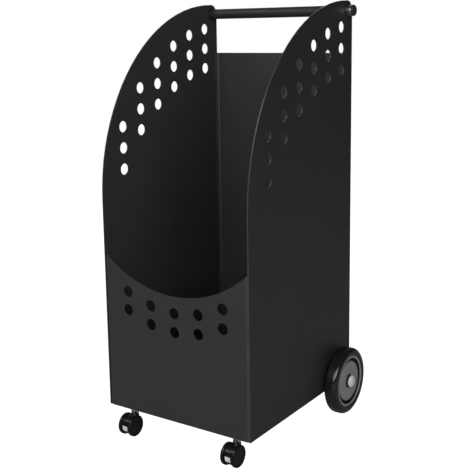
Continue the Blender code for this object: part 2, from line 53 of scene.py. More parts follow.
TYRE_LO, TYRE_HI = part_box("right_tyre")
WHEEL_CENTRE = (TYRE_LO + TYRE_HI) / 2
CAP_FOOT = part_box("right_axle_cap")[0].x
STEM_LO, STEM_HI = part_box("right_caster_stem")
STEM_X, STEM_Y = (STEM_LO.x + STEM_HI.x) / 2, (STEM_LO.y + STEM_HI.y) / 2
HOOD_LO, HOOD_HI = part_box("right_caster_hood")
CASTER_LO, CASTER_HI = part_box("right_caster_outer_wheel")
CASTER_AXLE_Y = (CASTER_LO.y + CASTER_HI.y) / 2
CASTER_RADIUS = (CASTER_HI.z - CASTER_LO.z) / 2
BACK_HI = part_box("back_panel")[1]
TRAY_LO, TRAY_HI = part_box("base_tray")
CHANNEL_LO, CHANNEL_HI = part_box("caster_crossmember")

# Sheet metal
SIDE_STRAIGHT = 0.373
SIDE_ARC = 0.334
HOLE = 0.010
SIDE_HOLE_FIRST = 0.0595
SIDE_HOLE_PITCH = 0.050
SIDE_HOLE_DROP = 0.0376
SIDE_HOLE_COLUMNS = 6
SIDE_HOLE_ROWS = 3
HOLE_ARC_CENTRE = (0.360, 0.314)  # behind the front edge, above the lower edge
HOLE_ARC = 0.350
FRONT_LOW = 0.222
FRONT_ARC = 0.219
FRONT_FLANGE = 0.012
FRONT_HOLE_PITCH = 0.0495
FRONT_HOLE_REACH = 2  # columns each side of the middle one
FRONT_HOLE_TOP = 0.0293
FRONT_HOLE_DROP = 0.033
BACK_FLANGE = 0.008
FRONT_BEND = 0.002
BACK_BEND = 0.0034
TRAY_BEND = 0.004
TRAY_BEND_STEPS = 5
AXLE_PLATE_CORNER = 0.004
ALONG_SHEET = 0.98  # cosine above which a face lies along its sheet
LOOKING_DOWN = -0.5  # upward part of a normal, below which a face looks down

# Gaps and rounded edges
SEAM = 0.0003
CUT_EDGE = 0.0004
SMALL_SOFT = 0.0003

# Handle, as radii where nothing else is said
TUBE = 0.0095
TUBE_WALL = 0.0015
PLUG = 0.0101
PLUG_CROWN, PLUG_CROWN_DROP = 0.0052, 0.0001
PLUG_SHOULDER_IN, PLUG_SHOULDER_DROP = 0.0010, 0.0009
PLUG_RIM_HEIGHT, PLUG_UNDERCUT = 0.0012, 0.0005
PLUG_SOFT = 0.0006
PLUG_STALK = 0.012  # length
SLEEVE_WALL = 0.0007
WELD_BEAD = 0.0013
WELD_RING = 0.0009  # tube to the middle of the bead
WELD_REACH = 0.0019  # panel to the start of the sleeve, clear of the bead
WELD_RIPPLE = 0.00025
WELD_SEED = 2
WELD_SMOOTH = 80  # degrees

# Rear wheels, with outlines as radius and height from the wheel's middle plane
AXLE = 0.006
AXLE_SOFT = 0.001
BUSH = 0.0085
WASHER = 0.0115
SHOULDER = 0.0085
BEAD = 0.0478
BEAD_CHAMFER = 0.0016
RIM = 0.0475
HUB_HALF = 0.0117
HUB_BARREL = 0.0430
HUB_WEB_BACK = 0.0005
HUB_BOSS = 0.0135
HUB_BOSS_BACK = -0.0130
HUB_SEAT = 0.0065
HUB_FACE = (  # recess, disc, groove and rim
    (0.0124, HUB_SEAT), (0.0131, 0.0092), (0.0137, 0.0097), (0.0362, 0.0097), (0.0370, 0.0089),
    (0.0371, 0.0040), (0.0424, 0.0040), (0.0430, 0.0109), (0.0438, HUB_HALF),
)
HUB_RIBS = 6
RIB_MIDDLE = (0.02825, -0.0027, 0)
RIB_SIZE = (0.0311, 0.0100, 0.003)
# Black rubber lining the hub's groove, walls and floor, as painted shade of the groove
GROOVE_SHADE_LINER = (
    (0.0429, 0.0106), (0.0423, 0.0042), (0.0373, 0.0042), (0.0372, 0.0086), (0.0376, 0.0086),
    (0.0377, 0.0046), (0.0419, 0.0046), (0.0425, 0.0106), (0.0429, 0.0106),
)
GROOVE_SHADE_LINER_SOFT = 0.0001
NECK_SHADE_LINER = (  # a flat ring with a lip round the cap's neck, in black rubber as painted shade under the cap
    (0.0125, 0.0093), (0.0125, 0.0084), (0.0098, 0.0084), (0.0099, 0.0121), (0.0105, 0.0121),
    (0.0109, 0.0093), (0.0125, 0.0093),
)
NECK_SHADE_LINER_SOFT = 0.0002
CAP = (  # low dome, rim and neck, as radius and height from the cap's foot
    (0, 0.0105), (0.0044, 0.0102), (0.0081, 0.0093), (0.0105, 0.0078), (0.0115, 0.0062),
    (0.0115, 0.0050), (0.0096, 0.0038), (0.0094, 0),
)
CAP_POCKET = 0.0055

# Casters
HOOD_HEEL = 0.014  # floor to the foot of the hood's rear face
HOOD_SOFT, HOOD_SOFT_STEPS = 0.0012, 4
NECK_ROUND = 0.0062
PLATE_MARGIN = 0.0014
PLATE_TOP, PLATE_FOOT = 170, 206  # degrees round the caster's axle
PLATE_END_GAP = 0.4  # degrees
PLATE_POCKET = 0.0012  # depth
PLATE_POCKET_OUT = 0.004  # how far the pocket's cutter stands out past the hood
PLATE_BACK, PLATE_FRONT = 0.0011, 0.0001  # below the hood's surface
CASTER_PIN = 0.0025
NECK = 0.0035
COLLAR = 0.0066
THREAD = 0.005
THREAD_PITCH = 0.0015
THREAD_DEPTH = 0.0006
THREAD_CREST = (0.35, 0.5)  # shares of the pitch
THREAD_RUNOUT = 0.0015
THREAD_SOFT = 0.00012
TIP_CHAMFER = 0.001
NUT_ACROSS = 0.016
NUT_SOFT = 0.0007
ROLLER_DISC = 0.0154
ROLLER_LIP_WIDTH, ROLLER_LIP_DROP = 0.0006, 0.0005
ROLLER_EDGE, ROLLER_BACK_EDGE = 0.0020, 0.0012
DISC_BOSS, DISC_BOSS_FOOT, DISC_BOSS_DROP = 0.0030, 0.0038, 0.0006
DISC_RIM, DISC_RIM_DROP = 0.0012, 0.0008
DISC_DROP = 0.0012
DISC_BACK = 0.0003
DISC_POCKET = 0.0037

# Lengths of drills that go right through, and of the one that goes half its length into the hood's top
AXLE_PLATE_DRILL = 0.02
NUT_DRILL = 0.03
CASTER_PIN_DRILL = 0.05
HOOD_NECK_DRILL = 0.0406

# Steps round turned, drilled and rounded pieces
HOLE_STEPS = 40
TUBE_HOLE_STEPS = 64
FRONT_ARC_STEPS = 360
PIN_STEPS = 32
ROD_STEPS = 48
CAP_STEPS = 64
TUBE_STEPS = 72
ROLLER_STEPS = 96
WHEEL_STEPS = 128
WELD_STEPS = 12
TURNED_EDGE_STEPS = 3
LEAST_ARC_STEPS = 3
ARC_STEP = 4.0  # degrees

SIDES = (("left", -1), ("right", 1))
MERGE = 1e-6


def drop_selection():
    if bpy.context.mode != "OBJECT":
        bpy.ops.object.mode_set(mode="OBJECT")
    bpy.ops.object.select_all(action="DESELECT")


def take(piece):
    drop_selection()
    piece.select_set(True)
    bpy.context.view_layer.objects.active = piece


def draw(name, start, strokes):
    """An outline in the XY plane: straight runs to a point, and turns about a centre in degrees."""
    drop_selection()
    bpy.ops.mesh.primitive_plane_add(size=HOLE)
    piece = bpy.context.object
    piece.name = piece.data.name = name
    bpy.ops.object.mode_set(mode="EDIT")
    bpy.ops.mesh.merge(type="CENTER")
    bpy.ops.transform.translate(value=(start[0], start[1], 0))
    at = Vector(start)
    for stroke in strokes:
        if len(stroke) == 2:
            run = Vector(stroke) - at
            bpy.ops.mesh.extrude_vertices_move(TRANSFORM_OT_translate={"value": (run.x, run.y, 0)})
            at = Vector(stroke)
        else:
            centre, angle = Vector(stroke[:2]), math.radians(stroke[2])
            steps = max(LEAST_ARC_STEPS, math.ceil(abs(stroke[2]) / ARC_STEP))
            bpy.ops.mesh.spin(steps=steps, angle=-angle, center=(centre.x, centre.y, 0), axis=(0, 0, 1))
            at = centre + Matrix.Rotation(angle, 2) @ (at - centre)
    bpy.ops.mesh.select_all(action="SELECT")
    bpy.ops.mesh.remove_doubles(threshold=MERGE)
    return piece


def draw_solid(name, start, strokes, depth):
    """A closed outline filled and drawn up along Z."""
    piece = draw(name, start, strokes)
    bpy.ops.mesh.edge_face_add()
    bpy.ops.mesh.extrude_region_move(TRANSFORM_OT_translate={"value": (0, 0, depth)})
    bpy.ops.mesh.select_all(action="SELECT")
    bpy.ops.mesh.normals_make_consistent(inside=False)
    bpy.ops.object.mode_set(mode="OBJECT")
    return piece


def turn(name, start, strokes, soft, steps):
    """A turned piece about Y from an outline of radius and height, its corners rounded off."""
    piece = draw(name, start, strokes)
    if soft:
        shape = bmesh.from_edit_mesh(piece.data)
        for vert in shape.verts:
            vert.select_set(len(vert.link_edges) == 2)
        shape.select_flush(True)
        bmesh.update_edit_mesh(piece.data)
        bpy.ops.mesh.bevel(offset=soft, segments=TURNED_EDGE_STEPS, affect="VERTICES", clamp_overlap=True)
        bpy.ops.mesh.select_all(action="SELECT")
    bpy.ops.mesh.spin(steps=steps, angle=math.tau, center=(0, 0, 0), axis=(0, 1, 0))
    bpy.ops.mesh.select_all(action="SELECT")
    bpy.ops.mesh.remove_doubles(threshold=MERGE)
    bpy.ops.mesh.normals_make_consistent(inside=False)
    bpy.ops.object.mode_set(mode="OBJECT")
    smooth(piece)
    return piece


def smooth(piece, degrees=38):
    take(piece)
    bpy.ops.object.shade_smooth_by_angle(angle=math.radians(degrees))


def apply_modifier(piece, modifier):
    take(piece)
    bpy.ops.object.modifier_apply(modifier=modifier.name)


def ease(piece, width, segments=2, degrees=40):
    """Takes the sharpness off a piece's edges, and keeps its flat faces flat in the light."""
    bevel = piece.modifiers.new("eased edges", "BEVEL")
    bevel.width = width
    bevel.segments = segments
    bevel.limit_method = "ANGLE"
    bevel.angle_limit = math.radians(degrees)
    apply_modifier(piece, bevel)
    smooth(piece)
    flat = piece.modifiers.new("flat faces", "WEIGHTED_NORMAL")
    flat.keep_sharp = True
    apply_modifier(piece, flat)


def join(pieces):
    drop_selection()
    for piece in pieces:
        piece.select_set(True)
    bpy.context.view_layer.objects.active = pieces[0]
    bpy.ops.object.join()
    return pieces[0]


def combine(piece, other, operation):
    boolean = piece.modifiers.new("combine", "BOOLEAN")
    boolean.operation = operation
    boolean.solver = "EXACT"
    boolean.object = other
    apply_modifier(piece, boolean)
    bpy.data.objects.remove(other, do_unlink=True)


ALONG_X, ALONG_Y, ALONG_Z = (0, math.pi / 2, 0), (math.pi / 2, 0, 0), (0, 0, 0)


def drill(piece, places, radius, depth, along, steps=HOLE_STEPS):
    """Cuts a round hole, centred on each place, through a piece."""
    bits = []
    for place in places:
        drop_selection()
        bpy.ops.mesh.primitive_cylinder_add(
            vertices=steps, radius=radius, depth=depth, location=place, rotation=along
        )
        bits.append(bpy.context.object)
    combine(piece, join(bits), "DIFFERENCE")


def copy_piece(piece, name):
    twin = piece.copy()
    twin.data = piece.data.copy()
    twin.name = twin.data.name = name
    bpy.context.scene.collection.objects.link(twin)
    return twin


def fit(piece, place, material, body, slot, *nodes):
    """Sets a piece in its place with its finish, on its body, for the plain solids it stands in for."""
    take(piece)
    bpy.ops.object.transform_apply(location=True, rotation=True, scale=True)
    piece.data.transform(place)
    piece.data.materials.clear()
    piece.data.materials.append(material)
    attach(piece, body)
    if nodes:
        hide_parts(*nodes)
    return piece


def axle_place(way, x, y, z):
    """Turns a piece made about Y so that its height runs outwards along X on that side."""
    return Matrix.Translation((way * x, y, z)) @ Matrix.Rotation(-way * math.pi / 2, 4, "Z")


UPRIGHT = Matrix.Rotation(math.pi / 2, 4, "X")  # height along Z
# The drawing's x, y and depth become Y, Z and X
EDGEWISE = Matrix(((0, 0, 1, 0), (1, 0, 0, 0), (0, 1, 0, 0), (0, 0, 0, 1)))


# Finishes

NOISE_LOW, NOISE_HIGH = 0.3, 0.7  # the range that most of a noise lies in
GLOSS_LOW, GLOSS_HIGH = 0.25, 0.75
RUBBED_GLOSS = 0.5  # share of the roughness left where the coat is rubbed
# Colour for settled dust, and for the painted light inside the bin
DUST_AND_LIGHT_COLOUR = (0.16, 0.155, 0.145)


def new_group(name, inputs, outputs):
    group = bpy.data.node_groups.new(name, "ShaderNodeTree")
    for title, kind, value in inputs:
        socket = group.interface.new_socket(title, in_out="INPUT", socket_type=kind)
        if value is not None:
            socket.default_value = value
    for title, kind in outputs:
        group.interface.new_socket(title, in_out="OUTPUT", socket_type=kind)
    return group, group.nodes.new("NodeGroupInput"), group.nodes.new("NodeGroupOutput")


def add_noise(tree, vector, scale, detail, roughness=0.5):
    noise = tree.nodes.new("ShaderNodeTexNoise")
    noise.inputs["Detail"].default_value = detail
    noise.inputs["Roughness"].default_value = roughness
    tree.links.new(vector, noise.inputs["Vector"])
    if isinstance(scale, (int, float)):
        noise.inputs["Scale"].default_value = scale
    else:
        tree.links.new(scale, noise.inputs["Scale"])
    return noise.outputs["Fac"]


def add_range(tree, value, low, high, to_low, to_high):
    remap = tree.nodes.new("ShaderNodeMapRange")
    for title, number in (("From Min", low), ("From Max", high), ("To Min", to_low), ("To Max", to_high)):
        if isinstance(number, (int, float)):
            remap.inputs[title].default_value = number
        else:
            tree.links.new(number, remap.inputs[title])
    tree.links.new(value, remap.inputs["Value"])
    return remap.outputs["Result"]


def add_product(tree, first, second):
    math_node = tree.nodes.new("ShaderNodeMath")
    math_node.operation = "MULTIPLY"
    for socket, value in zip(math_node.inputs, (first, second)):
        if isinstance(value, (int, float)):
            socket.default_value = value
        else:
            tree.links.new(value, socket)
    return math_node.outputs[0]


def make_surface_grain():
    """Fine grain for the bump, and a slow mottle for colour and gloss."""
    group, given, made = new_group(
        "surface grain",
        (
            ("Vector", "NodeSocketVector", None), ("Grain", "NodeSocketFloat", 900.0),
            ("Mottle", "NodeSocketFloat", 9.0),
        ),
        (("Height", "NodeSocketFloat"), ("Patch", "NodeSocketFloat")),
    )
    height = add_noise(group, given.outputs["Vector"], given.outputs["Grain"], detail=2.0)
    patch = add_noise(group, given.outputs["Vector"], given.outputs["Mottle"], detail=5.0, roughness=0.6)
    group.links.new(height, made.inputs["Height"])
    group.links.new(patch, made.inputs["Patch"])
    return group


def make_wear_and_edge_highlight():
    """A mask of rubbed places, which also lightens edges as a painted highlight: strongest on faces marked
    as cut edges, broken up by noise.
    """
    group, given, made = new_group(
        "handling wear and painted edge highlight",
        (("Vector", "NodeSocketVector", None), ("Amount", "NodeSocketFloat", 0.5)),
        (("Rubbed and highlit", "NodeSocketFloat"),),
    )
    edge = group.nodes.new("ShaderNodeAttribute")
    edge.attribute_name = "cut_edge"
    patches = add_noise(group, given.outputs["Vector"], scale=60.0, detail=3.0)
    broken = add_range(group, patches, NOISE_LOW, NOISE_HIGH, 0.4, 1.0)
    worn_and_highlit = add_product(group, edge.outputs["Fac"], broken)
    group.links.new(add_product(group, worn_and_highlit, given.outputs["Amount"]), made.inputs["Rubbed and highlit"])
    return group


def make_settled_dust():
    """A thin veil on faces that look up."""
    group, given, made = new_group(
        "settled dust",
        (("Vector", "NodeSocketVector", None), ("Amount", "NodeSocketFloat", 0.2)),
        (("Dust and light", "NodeSocketFloat"),),
    )
    facing = group.nodes.new("ShaderNodeNewGeometry")
    split = group.nodes.new("ShaderNodeSeparateXYZ")
    group.links.new(facing.outputs["Normal"], split.inputs[0])
    up = add_range(group, split.outputs["Z"], 0.5, 1.0, 0.0, 1.0)
    patches = add_noise(group, given.outputs["Vector"], scale=35.0, detail=4.0)
    drift = add_range(group, patches, 0.35, 0.75, 0.0, 1.0)
    dust_and_light = add_product(group, add_product(group, up, drift), given.outputs["Amount"])
    group.links.new(dust_and_light, made.inputs["Dust and light"])
    return group


def make_bin_painted_light():
    """Painted light: a pale mottle that lightens the sheet faces inside the bin."""
    group, given, made = new_group(
        "painted bin light",
        (("Vector", "NodeSocketVector", None), ("Amount", "NodeSocketFloat", 0.1)),
        (("Dust and light", "NodeSocketFloat"),),
    )
    place = group.nodes.new("ShaderNodeSeparateXYZ")
    group.links.new(given.outputs["Vector"], place.inputs[0])
    patches = add_noise(group, given.outputs["Vector"], scale=12.0, detail=4.0)
    dust_and_light = add_range(group, patches, NOISE_LOW, NOISE_HIGH, 0.7, 1.0)
    fade = SHEET / 4
    for axis, face, way in (
        ("X", PANEL_LO.x, 1), ("X", -PANEL_LO.x, -1), ("Y", BACK_HI.y - SHEET, 1),
        ("Y", FRONT_Y + SHEET, -1), ("Z", TRAY_HI.z - SHEET, -1),
    ):
        inside = add_range(group, place.outputs[axis], face + way * fade, face + 2 * way * fade, 1.0, 0.0)
        dust_and_light = add_product(group, dust_and_light, inside)
    group.links.new(add_product(group, dust_and_light, given.outputs["Amount"]), made.inputs["Dust and light"])
    return group


SURFACE_GRAIN = make_surface_grain()
WEAR_AND_EDGE_HIGHLIGHT = make_wear_and_edge_highlight()
SETTLED_DUST = make_settled_dust()
BIN_PAINTED_LIGHT = make_bin_painted_light()


def add_group(tree, group, vector, **values):
    node = tree.nodes.new("ShaderNodeGroup")
    node.node_tree = group
    tree.links.new(vector, node.inputs["Vector"])
    for title, value in values.items():
        node.inputs[title].default_value = value
    return node


def add_mix(tree, mask, first, second):
    mix = tree.nodes.new("ShaderNodeMix")
    mix.data_type = "RGBA"
    tree.links.new(mask, mix.inputs["Factor"])
    for socket, colour in ((mix.inputs["A"], first), (mix.inputs["B"], second)):
        if isinstance(colour, tuple):
            socket.default_value = (*colour, 1)
        else:
            tree.links.new(colour, socket)
    return mix.outputs["Result"]


def finish_material(
    name, dark, light, rough, grain, mottle, bump,
    worn_and_highlit=None, wear=0.0, dust=0.0, bin_painted_light=0.0, metallic=0.0, shine=0.5,
):
    """Mottled colour between two tones, gloss that follows the mottle, fine grain, rubbed edges lightened
    partly as a painted highlight, dust, and painted light inside the bin.

    rough is the least and greatest roughness, bump the strength and the height in metres.
    """
    material = bpy.data.materials.new(name)
    material.use_nodes = True
    tree = material.node_tree
    shader = tree.nodes["Principled BSDF"]
    shader.inputs["Metallic"].default_value = metallic
    shader.inputs["Specular IOR Level"].default_value = shine
    where = tree.nodes.new("ShaderNodeTexCoord").outputs["Object"]
    surface = add_group(tree, SURFACE_GRAIN, where, Grain=grain, Mottle=mottle)
    tone = add_range(tree, surface.outputs["Patch"], NOISE_LOW, NOISE_HIGH, 0.0, 1.0)
    colour = add_mix(tree, tone, dark, light)
    if worn_and_highlit:
        rubbed_and_highlit = add_group(tree, WEAR_AND_EDGE_HIGHLIGHT, where, Amount=wear)
        # cut edges lightened: partly wear, partly a painted highlight
        colour = add_mix(tree, rubbed_and_highlit.outputs["Rubbed and highlit"], colour, worn_and_highlit)
    if dust:
        dust_and_light = add_group(tree, SETTLED_DUST, where, Amount=dust)
        colour = add_mix(tree, dust_and_light.outputs["Dust and light"], colour, DUST_AND_LIGHT_COLOUR)
    if bin_painted_light:
        # painted light: lightens the faces inside the bin
        dust_and_light = add_group(tree, BIN_PAINTED_LIGHT, where, Amount=bin_painted_light)
        colour = add_mix(tree, dust_and_light.outputs["Dust and light"], colour, DUST_AND_LIGHT_COLOUR)
    tree.links.new(colour, shader.inputs["Base Color"])
    gloss = add_range(tree, surface.outputs["Patch"], GLOSS_LOW, GLOSS_HIGH, *rough)
    if worn_and_highlit:
        polish = add_range(tree, rubbed_and_highlit.outputs["Rubbed and highlit"], 0.0, 1.0, 1.0, RUBBED_GLOSS)
        gloss = add_product(tree, gloss, polish)
    tree.links.new(gloss, shader.inputs["Roughness"])
    bumps = tree.nodes.new("ShaderNodeBump")
    bumps.inputs["Strength"].default_value = bump[0]
    bumps.inputs["Distance"].default_value = bump[1]
    tree.links.new(surface.outputs["Height"], bumps.inputs["Height"])
    tree.links.new(bumps.outputs["Normal"], shader.inputs["Normal"])
    return material


# The lighter edge colour is partly wear and partly a painted highlight
PANEL_COAT = finish_material(
    "black powder coat", (0.0270, 0.0270, 0.0275), (0.0320, 0.0320, 0.0325),
    rough=(0.44, 0.52), grain=1100, mottle=7, bump=(0.22, 0.0004),
    # the pale mottle inside the bin is painted light
    worn_and_highlit=(0.085, 0.085, 0.088), wear=0.7, dust=0.12, bin_painted_light=0.13,
)
WELD_COAT = finish_material(
    "coat over weld", (0.016, 0.016, 0.0165), (0.022, 0.022, 0.0225),
    rough=(0.36, 0.46), grain=420, mottle=60, bump=(0.5, 0.0006), dust=0.1,
)
TUBE_COAT = finish_material(
    "handle coat", (0.020, 0.020, 0.0205), (0.027, 0.027, 0.0275),
    rough=(0.46, 0.56), grain=1300, mottle=20, bump=(0.15, 0.0003), dust=0.06,
)
PLUG_PLASTIC = finish_material(
    "plug plastic", (0.026, 0.026, 0.026), (0.034, 0.034, 0.034),
    rough=(0.35, 0.5), grain=1500, mottle=60, bump=(0.15, 0.0002),
)
TYRE_RUBBER = finish_material(
    "tyre rubber", (0.010, 0.010, 0.010), (0.016, 0.0157, 0.0153),
    rough=(0.09, 0.16), grain=1600, mottle=40, bump=(0.2, 0.0003), dust=0.1, shine=0.75,
)
HUB_PLASTIC = finish_material(
    "grey hub plastic", (0.315, 0.315, 0.318), (0.355, 0.355, 0.358),
    rough=(0.40, 0.50), grain=1500, mottle=30, bump=(0.15, 0.0003), dust=0.05,
)
BRIGHT_PLATE = finish_material(
    "bright plate", (0.66, 0.66, 0.67), (0.74, 0.74, 0.75),
    rough=(0.16, 0.26), grain=700, mottle=90, bump=(0.06, 0.0002), metallic=1.0,
)
# Near-white satin colour: the bright reflections of the axle caps and the caster plates, painted into their
# colour
PAINTED_REFLECTION_PLATE = finish_material(
    "pale satin plate with painted reflection", (0.95, 0.95, 0.95), (0.98, 0.98, 0.98),
    rough=(0.30, 0.40), grain=900, mottle=90, bump=(0.08, 0.0002), metallic=0.06,
)
DULL_PLATE = finish_material(
    "dull zinc plate", (0.42, 0.42, 0.43), (0.55, 0.55, 0.56),
    rough=(0.34, 0.48), grain=900, mottle=70, bump=(0.15, 0.0003), dust=0.1, metallic=1.0,
)
BUSH_NYLON = finish_material(
    "nylon bush", (0.50, 0.49, 0.45), (0.58, 0.57, 0.53),
    rough=(0.42, 0.52), grain=900, mottle=50, bump=(0.1, 0.0003),
)
CASTER_PLASTIC = finish_material(
    "glossy caster plastic", (0.006, 0.006, 0.006), (0.010, 0.010, 0.010),
    rough=(0.20, 0.28), grain=800, mottle=50, bump=(0.04, 0.0002), dust=0.06, shine=0.22,
)
# Near-black rubber for the liners that paint shade in the hub
SHADE_RUBBER = finish_material(
    "black rubber as painted shade", (0.006, 0.006, 0.006), (0.009, 0.009, 0.009),
    rough=(0.55, 0.65), grain=1500, mottle=40, bump=(0.2, 0.0002),
)
ROLLER_PLASTIC = finish_material(
    "roller plastic", (0.006, 0.006, 0.006), (0.010, 0.010, 0.010),
    rough=(0.34, 0.44), grain=1400, mottle=50, bump=(0.12, 0.0002), dust=0.04, shine=0.3,
)


def mark_cut_edges(piece, flat_axes):
    """Marks the faces that don't lie along the sheet, which are its cut edges and hole walls."""
    marks = piece.data.attributes.new("cut_edge", "FLOAT", "FACE")
    for face, mark in zip(piece.data.polygons, marks.data):
        mark.value = 0.0 if max(abs(face.normal[axis]) for axis in flat_axes) > ALONG_SHEET else 1.0


# Bin


def make_side_panels():
    tube = (TUBE_Y, TUBE_Z - PANEL_FOOT)
    round_front = (FRONT_Y + SIDE_ARC, SIDE_STRAIGHT)
    meeting = math.degrees(math.atan2(tube[1] - round_front[1], tube[0] - round_front[0]))
    panel = draw_solid(
        "right_side_sheet",
        (REAR_Y, 0),
        ((REAR_Y, tube[1]), (*tube, meeting), (*round_front, 180 - meeting), (FRONT_Y, 0), (REAR_Y, 0)),
        SHEET,
    )
    places = []
    for column in range(SIDE_HOLE_COLUMNS):
        back = SIDE_HOLE_FIRST + column * SIDE_HOLE_PITCH
        top = HOLE_ARC_CENTRE[1] + math.sqrt(HOLE_ARC**2 - (HOLE_ARC_CENTRE[0] - back) ** 2)
        for row in range(SIDE_HOLE_ROWS):
            places.append((FRONT_Y + back, top - row * SIDE_HOLE_DROP, 0))
    drill(panel, places, HOLE, 4 * SHEET, ALONG_Z)
    drill(panel, [(*tube, 0)], TUBE + SEAM, 4 * SHEET, ALONG_Z, TUBE_HOLE_STEPS)
    drill(panel, [(WHEEL_CENTRE.y, WHEEL_CENTRE.z - PANEL_FOOT, 0)], AXLE + SEAM, 4 * SHEET, ALONG_Z)
    ease(panel, CUT_EDGE)
    mark_cut_edges(panel, (2,))
    twin = copy_piece(panel, "left_side_sheet")
    lift = Matrix.Translation((0, 0, PANEL_FOOT)) @ EDGEWISE
    right, left = (Matrix.Translation((x, 0, 0)) @ lift for x in (HALF_WIDTH - SHEET, -HALF_WIDTH))
    fit(panel, right, PANEL_COAT, "rack_body", "powder_coat", "right_side_panel")
    fit(twin, left, PANEL_COAT, "rack_body", "powder_coat", "left_side_panel")


def folded_strokes(half, flange, bend):
    """A web with a flange turned up at each end, drawn once round from the left flange's outer corner."""
    outer = bend + SHEET
    return (-half, flange), (
        (-half, outer), (-half + outer, outer, 90), (half - outer, 0), (half - outer, outer, 90),
        (half, flange), (half - SHEET, flange), (half - SHEET, outer), (half - outer, outer, -90),
        (-half + outer, SHEET), (-half + outer, outer, -90), (-half + SHEET, flange), (-half, flange),
    )


def front_edge(x):
    return FRONT_LOW + FRONT_ARC - math.sqrt(FRONT_ARC**2 - x**2)


def make_front_panel():
    lo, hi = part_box("front_panel")
    panel = draw_solid("front_sheet", *folded_strokes(hi.x, FRONT_FLANGE, FRONT_BEND), hi.z - lo.z)
    drill(panel, [(0, 0, FRONT_LOW + FRONT_ARC)], FRONT_ARC, 6 * FRONT_FLANGE, ALONG_Y, FRONT_ARC_STEPS)
    places = []
    for column in range(-FRONT_HOLE_REACH, FRONT_HOLE_REACH + 1):
        x = column * FRONT_HOLE_PITCH
        top = front_edge(x) - FRONT_HOLE_TOP
        places += [(x, 0, top), (x, 0, top - FRONT_HOLE_DROP)]
    drill(panel, places, HOLE, 4 * SHEET, ALONG_Y)
    ease(panel, CUT_EDGE)
    mark_cut_edges(panel, (0, 1))
    fit(panel, Matrix.Translation((0, FRONT_Y, lo.z)), PANEL_COAT, "rack_body", "powder_coat", "front_panel")


def make_back_panel():
    lo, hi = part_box("back_panel")
    panel = draw_solid("back_sheet", *folded_strokes(hi.x, BACK_FLANGE, BACK_BEND), hi.z - lo.z)
    ease(panel, CUT_EDGE)
    mark_cut_edges(panel, (0, 1))
    place = Matrix.Translation((0, REAR_Y, lo.z)) @ Matrix.Rotation(math.pi, 4, "Z")
    fit(panel, place, PANEL_COAT, "rack_body", "powder_coat", "back_panel")


def make_base_tray():
    size = TRAY_HI - TRAY_LO
    drop_selection()
    bpy.ops.mesh.primitive_cube_add(size=1, location=(TRAY_LO + TRAY_HI) / 2, scale=size)
    tray = bpy.context.object
    tray.name = tray.data.name = "base_sheet"
    bpy.ops.object.transform_apply(location=True, rotation=True, scale=True)
    bpy.ops.object.mode_set(mode="EDIT")
    shape = bmesh.from_edit_mesh(tray.data)
    for face in shape.faces:
        face.select_set(face.normal.z < LOOKING_DOWN)
    bmesh.update_edit_mesh(tray.data)
    bpy.ops.mesh.delete(type="FACE")
    shape = bmesh.from_edit_mesh(tray.data)
    bpy.ops.mesh.select_mode(type="EDGE")
    for edge in shape.edges:
        edge.select_set(len(edge.link_faces) == 2)
    bmesh.update_edit_mesh(tray.data)
    bpy.ops.mesh.bevel(offset=TRAY_BEND, segments=TRAY_BEND_STEPS, affect="EDGES")
    bpy.ops.mesh.select_mode(type="VERT")
    bpy.ops.object.mode_set(mode="OBJECT")
    wall = tray.modifiers.new("sheet", "SOLIDIFY")
    wall.thickness = SHEET
    wall.offset = -1
    apply_modifier(tray, wall)
    ease(tray, CUT_EDGE)
    mark_cut_edges(tray, (0, 1, 2))
    fit(tray, Matrix.Identity(4), PANEL_COAT, "rack_body", "powder_coat", "base_tray")


def make_crossmember():
    half = (CHANNEL_HI.y - CHANNEL_LO.y) / 2
    length = CHANNEL_HI.x - CHANNEL_LO.x
    strokes = folded_strokes(half, CHANNEL_HI.z - CHANNEL_LO.z, FRONT_BEND)
    channel = draw_solid("caster_channel", *strokes, length)
    channel.data.transform(Matrix.Translation((-length / 2, STEM_Y, CHANNEL_LO.z)) @ EDGEWISE)
    places = [(way * STEM_X, STEM_Y, CHANNEL_LO.z) for _, way in SIDES]
    drill(channel, places, THREAD + SEAM, 4 * SHEET, ALONG_Z)
    ease(channel, CUT_EDGE)
    mark_cut_edges(channel, (1, 2))
    fit(channel, Matrix.Identity(4), PANEL_COAT, "rack_body", "powder_coat", "caster_crossmember")


def make_axle_plates():
    for side, way in SIDES:
        lo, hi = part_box(f"{side}_axle_plate")
        corner, width, height = AXLE_PLATE_CORNER, hi.y - lo.y, hi.z - lo.z
        plate = draw_solid(
            f"{side}_axle_stiffener",
            (width, corner),
            (
                (width, height - corner), (width - corner, height - corner, 90), (corner, height),
                (corner, height - corner, 90), (0, corner), (corner, corner, 90), (width - corner, 0),
                (width - corner, corner, 90),
            ),
            hi.x - lo.x,
        )
        drill(plate, [(width / 2, height / 2, 0)], AXLE + SEAM, AXLE_PLATE_DRILL, ALONG_Z)
        ease(plate, CUT_EDGE)
        mark_cut_edges(plate, (2,))
        place = Matrix.Translation(lo) @ EDGEWISE
        fit(plate, place, PANEL_COAT, "rack_body", "powder_coat", f"{side}_axle_plate")


# Handle


def ring_strokes(outer, inner, low, high):
    return (outer, high), ((outer, low), (inner, low), (inner, high), (outer, high))


